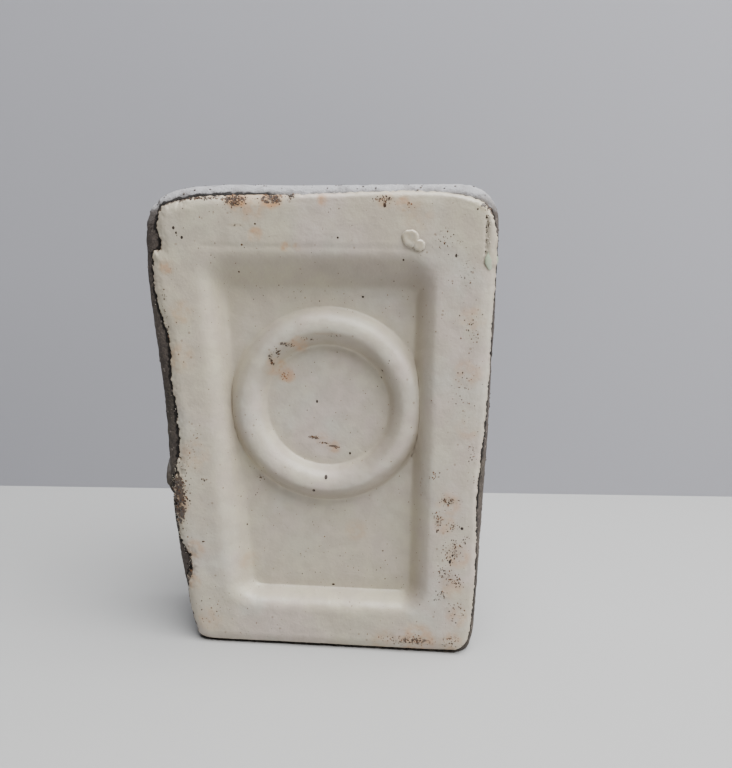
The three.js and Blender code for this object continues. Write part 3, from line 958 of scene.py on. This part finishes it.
def paint_glaze(mesh, face):
    """Marks stains, the thin edge, pooled glaze in hollows, and thinner glaze with painted shade on walls
    facing down or to the left.
    """
    points = points_of(mesh)
    x, z = points[:, 0], points[:, 2]
    stains = [(at_x, at_z, reach, reach, strength) for at_x, at_z, reach, strength in RUST_STAINS]
    rim_strength = 0.25 + 0.65 * smooth_step(-x, 20 * MM, 40 * MM)
    rim = rim_strength * (1 - smooth_step(face.edge(x, z), 0.05 * MM, 0.55 * MM))
    # Walls facing down or to the left, away from the light, get painted shade, partly thinner glaze.
    lean = face.at(face.normal, x, z)
    shade_facing_down = smooth_step(-lean[:, 2], 0.12, 0.5)
    shade_facing_left = smooth_step(-lean[:, 0], 0.15, 0.6)
    inside = band(x, -40 * MM, 40 * MM, 3 * MM) * band(z, 10 * MM, 136 * MM, 3 * MM)
    paint(mesh, "rust", patches(x, z, stains))
    paint(mesh, "thin", np.maximum(rim, patches(x, z, WORN_PATCHES)))
    paint(mesh, "pooled", smooth_step(-face.at(face.pooling, x, z), 0.25 * MM, 1.6 * MM))
    paint(mesh, "thin_glaze_and_shade", np.maximum(shade_facing_down, 0.7 * shade_facing_left) * inside)


def spot_places(face):
    """X, Z, radius and rustiness of every spot: clusters, lone spots and loose ones."""
    chance = np.random.default_rng(SPOT_SEED)
    rows = list(LONE_SPOTS)
    for x, z, wide, tall, count, largest, rusty in SPOT_CLUSTERS:
        for _ in range(count):
            a, b = chance.normal(0, 0.45, 2)
            size = largest * (0.35 + 0.65 * chance.random() ** 1.6)
            rust = np.clip(rusty + chance.normal(0, 0.25), 0, 1)
            rows.append((x + a * wide, z + b * tall, size, rust))
    for _ in range(LOOSE_SPOTS):
        x = chance.uniform(-46, 51)
        z = chance.uniform(3, 146)
        size = LOOSE_SPOT_RADIUS * (0.45 + 0.55 * chance.random() ** 2)
        rows.append((x, z, size, chance.random() * 0.6))
    rows = np.array(rows, float)
    inside = face.edge(rows[:, 0] * MM, rows[:, 1] * MM) > 0.2 * MM
    return rows[inside], chance


def make_spots(face):
    spots, chance = spot_places(face)
    x, z = spots[:, 0] * MM, spots[:, 1] * MM
    normal = face.at(face.normal, x, z)
    place = face.place(x, z, face.thickness(x, z, face.edge(x, z)))
    mesh = mesh_from("iron_spots", place, [])
    paint(mesh, "size", spots[:, 2] * MM)
    paint(mesh, "stretch", chance.uniform(0.7, 1.6, len(spots)))
    paint(mesh, "shade", spots[:, 3])
    facing = mesh.attributes.new("facing", "FLOAT_VECTOR", "POINT")
    facing.data.foreach_set("vector", normal.ravel().astype(np.float32))
    piece = new_piece("iron_spots", mesh)
    run_tree(piece, SPOTS, {"Thickness": 0.05 * MM, "Material": IRON})
    return shade_smooth(piece)


def drop_mesh(name, face, seed):
    """An uneven dome on the face whose middle has sunk in, closed underneath."""
    *sizes, sunk = DROPS[name]
    x, z, radius, height = (size * MM for size in sizes)
    rings, spokes = 14, 40
    angle = np.arange(spokes) * 2 * math.pi / spokes
    reach = radius * (1 + 0.22 * grain(np.cos(angle), np.sin(angle), 1.1, seed))
    points, faces = [], []
    for ring in range(1, rings + 1):
        out = ring / rings
        dome = math.sqrt(max(0.0, 1 - out ** 3.4))
        rise = height * (dome - sunk * (1 - smooth_step(out, 0.15, 0.85)))
        px = x + reach * out * np.cos(angle)
        pz = z + reach * out * np.sin(angle)
        py = face.at(face.clay, px, pz) - COAT - rise + DROP_SUNK
        points += list(np.stack([px, py, pz], axis=1))
    crown = len(points)
    surface = float(face.at(face.clay, np.array([x]), np.array([z]))[0]) - COAT
    points.append((x, surface - height * (1 - sunk) + DROP_SUNK, z))
    points.append((x, surface + 0.5 * MM, z))
    for ring in range(rings - 1):
        for i in range(spokes):
            a, b = ring * spokes + i, ring * spokes + (i + 1) % spokes
            faces.append((a, a + spokes, b + spokes, b))
    last = (rings - 1) * spokes
    for i in range(spokes):
        j = (i + 1) % spokes
        faces.append((crown, i, j))
        faces.append((crown + 1, last + j, last + i))
    return mesh_from(name, points, faces)


def facing_out(mesh):
    work = bmesh.new()
    work.from_mesh(mesh)
    bmesh.ops.recalc_face_normals(work, faces=work.faces)
    work.to_mesh(mesh)
    work.free()
    return mesh


def make_drop(name, face, material):
    mesh = facing_out(drop_mesh(name, face, float(len(name))))
    piece = new_piece(name.replace("glaze_", "fused_"), mesh)
    piece.data.materials.append(material)
    return shade_smooth(piece)


def make_run(face):
    """The green run: a slim lip beside the seam that swells into a glassy tear."""
    low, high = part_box("glaze_run")
    middle_x = (low.x + high.x) / 2 - 0.1 * MM
    length = high.z - low.z + 0.8 * MM
    rows, spokes = 44, 24
    points, faces = [], []
    for row in range(rows + 1):
        t = row / rows
        z = high.z - length * t
        tear = math.exp(-((t - TEAR_MIDDLE) / TEAR_LENGTH) ** 2) * math.sqrt(max(0.0, 1 - t ** 14))
        slim = math.sqrt(max(0.0, math.sin(math.pi * t)))
        half, rise = (a * slim + b * tear + RUN_LEAST for a, b in zip(RUN_SLIM, RUN_TEAR))
        half *= 1 + 0.3 * noise.noise(Vector((t * 9, 0, 3)))
        x = middle_x + (0.2 * math.sin(t * 4) + 0.5 * tear) * MM
        for spoke in range(spokes):
            angle = 2 * math.pi * spoke / spokes
            px = x + half * math.cos(angle)
            surface = float(face.at(face.clay, np.array([px]), np.array([z]))[0]) - COAT
            points.append((px, surface - rise * math.sin(angle) - RUN_SUNK, z))
    for row in range(rows):
        for i in range(spokes):
            a, b = row * spokes + i, row * spokes + (i + 1) % spokes
            faces.append((a, b, b + spokes, a + spokes))
    faces.append(tuple(range(spokes)))
    faces.append(tuple(rows * spokes + i for i in reversed(range(spokes))))
    piece = new_piece("green_run", facing_out(mesh_from("green_run", points, faces)))
    piece.data.materials.append(GREEN)
    heights = points_of(piece.data)[:, 2]
    paint(piece.data, "deep", 1 - smooth_step(heights, low.z + 4.2 * MM, low.z + 7 * MM))
    return shade_smooth(piece)


# ---------------------------------------------------------------- grit and crumbs
def sow(name, source, where, plan, material):
    """Grains over the part of a piece that where marks with numbers from 0 to 1."""
    density, smallest, largest, flatness, seed = plan
    mesh = source.data.copy()
    mesh.name = name
    paint(mesh, "sown", where)
    piece = new_piece(name, mesh)
    run_tree(piece, SOW, {
        "Grains per square metre": density, "Smallest": smallest, "Largest": largest,
        "Flatness": flatness, "Seed": seed, "Material": material})
    return shade_smooth(piece)


def bare_share(body, face):
    """1 where the clay is bare and above the foot, 0 under the glaze."""
    points, normals = points_of(body.data), normals_of(body.data)
    edge = face.edge(points[:, 0], points[:, 2])
    front = (normals[:, 1] < -0.05) & (points[:, 1] < CLAY_Y + 12 * MM)
    covered = front & (edge > -0.2 * MM)
    return np.where(covered | (points[:, 2] < 1.5 * MM), 0.0, 1.0)


def crumb_share(body, face):
    """Where crumbs of glaze stick to the bare clay: just outside the torn edge."""
    points, normals = points_of(body.data), normals_of(body.data)
    edge = face.edge(points[:, 0], points[:, 2])
    near = smooth_step(edge, -2 * MM, -0.4 * MM) * (edge < -0.1 * MM)
    front = (normals[:, 1] < -0.1) & (points[:, 1] < CLAY_Y + 9 * MM) & (points[:, 2] > 4 * MM)
    return near * front * np.clip(raggedness(points[:, 0], points[:, 2]) - 0.8, 0.02, 1)


def lip_share(coat):
    """Where crumbs of glaze sit on the lip to the right of the seam."""
    points = points_of(coat.data)
    beside = band(points[:, 2], (SEAM_LOW + 4) * MM, SEAM_HIGH * MM, 1 * MM) * (points[:, 1] < CLAY_Y)
    return beside * ridge(points[:, 0], (SEAM_X + 0.8) * MM, 0.5 * MM)


# ---------------------------------------------------------------- stage
def stage_material(name, colour, roughness):
    material, tree, shader = new_material(name, roughness, specular=0.3)
    cloud = cloudy(tree, 0.2, 0.3, 0.0)
    tone = tuple(c * 0.975 for c in colour[:3]) + (1,)
    tree.links.new(mix_colour(tree, cloud, tone, colour), shader.inputs["Base Color"])
    return material, tree, shader


def make_floor():
    half = 1.5
    corners = [(-half, -half, 0), (half, -half, 0), (half, half, 0), (-half, half, 0)]
    floor = new_piece("floor", mesh_from("floor", corners, [(0, 1, 2, 3)]))
    material, _, _ = stage_material("floor", FLOOR_TONE, 0.5)
    floor.data.materials.append(material)


def make_wall():
    """A pale wall behind; its back is clear, so a view from behind looks through it."""
    along = Vector((math.cos(WALL_TURN), math.sin(WALL_TURN), 0))
    foot = Vector((0, WALL_BEHIND, 0))
    ends = [foot - along * 1.2, foot + along * 1.2]
    up = Vector((0, 0, 1.1))
    wall = new_piece("wall", mesh_from(
        "wall", [ends[0], ends[1], ends[1] + up, ends[0] + up], [(0, 1, 2, 3)]))
    material, tree, shader = stage_material("wall", WALL_TONE, 0.7)
    clear = add_node(tree, "ShaderNodeBsdfTransparent")
    side = add_node(tree, "ShaderNodeNewGeometry")
    choose = add_node(tree, "ShaderNodeMixShader", {
        0: side.outputs["Backfacing"], 1: shader.outputs[0], 2: clear.outputs[0]})
    tree.links.new(choose.outputs[0], tree.nodes["Material Output"].inputs["Surface"])
    wall.data.materials.append(material)


def area_light(name, plan, aim):
    light = bpy.data.lights.new(name, "AREA")
    light.shape = "DISK"
    light.size = plan["size"]
    light.energy = plan["power"]
    light.color = plan["colour"]
    lamp = bpy.data.objects.new(name, light)
    lamp.location = plan["at"]
    way = Vector(aim) - Vector(plan["at"])
    lamp.rotation_euler = way.to_track_quat("-Z", "Y").to_euler()
    bpy.context.scene.collection.objects.link(lamp)


def make_lights():
    area_light("ceiling", KEY, (0, 0, 0.06))
    area_light("side", SIDE, (0.1, 0.05, 0.1))
    world = bpy.data.worlds.new("room")
    world.use_nodes = True
    background = world.node_tree.nodes["Background"]
    background.inputs["Color"].default_value = ROOM_COLOUR
    background.inputs["Strength"].default_value = ROOM_STRENGTH
    bpy.context.scene.world = world


def make_camera():
    camera = bpy.data.objects.new("camera", bpy.data.cameras.new("camera"))
    camera.data.lens = CAMERA_LENS
    camera.data.clip_start = 0.01
    turn = Matrix.Rotation(CAMERA_PAN, 4, "Z") @ Matrix.Rotation(math.pi / 2 - CAMERA_DIP, 4, "X")
    camera.matrix_world = Matrix.Translation(CAMERA_AT) @ turn @ Matrix.Rotation(CAMERA_ROLL, 4, "Z")
    bpy.context.scene.collection.objects.link(camera)
    bpy.context.scene.camera = camera


# ---------------------------------------------------------------- assembly
def fit(piece, node=None):
    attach(piece, "root")
    if node:
        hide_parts(node)


make_camera()
face = GlazeFace()
body = make_body(face)
lump = make_lump()
coat = make_glaze(face)
grit = sow("clay_grit", body, bare_share(body, face), GRIT_PLAN, GRIT)
lip_crumbs = sow("lip_crumbs", coat, lip_share(coat), LIP_CRUMB_PLAN, GLAZE)
crumbs = sow("glaze_crumbs", body, crumb_share(body, face), CRUMB_PLAN, GLAZE)
spots = make_spots(face)

fit(body, "stoneware_body")
fit(lump, "clay_lump")
fit(grit)
fit(coat, "face_glaze")
fit(crumbs)
fit(lip_crumbs)
fit(spots)
for name in DROPS:
    fit(make_drop(name, face, CREAM), name)
fit(make_run(face), "glaze_run")

make_floor()
make_wall()
make_lights()
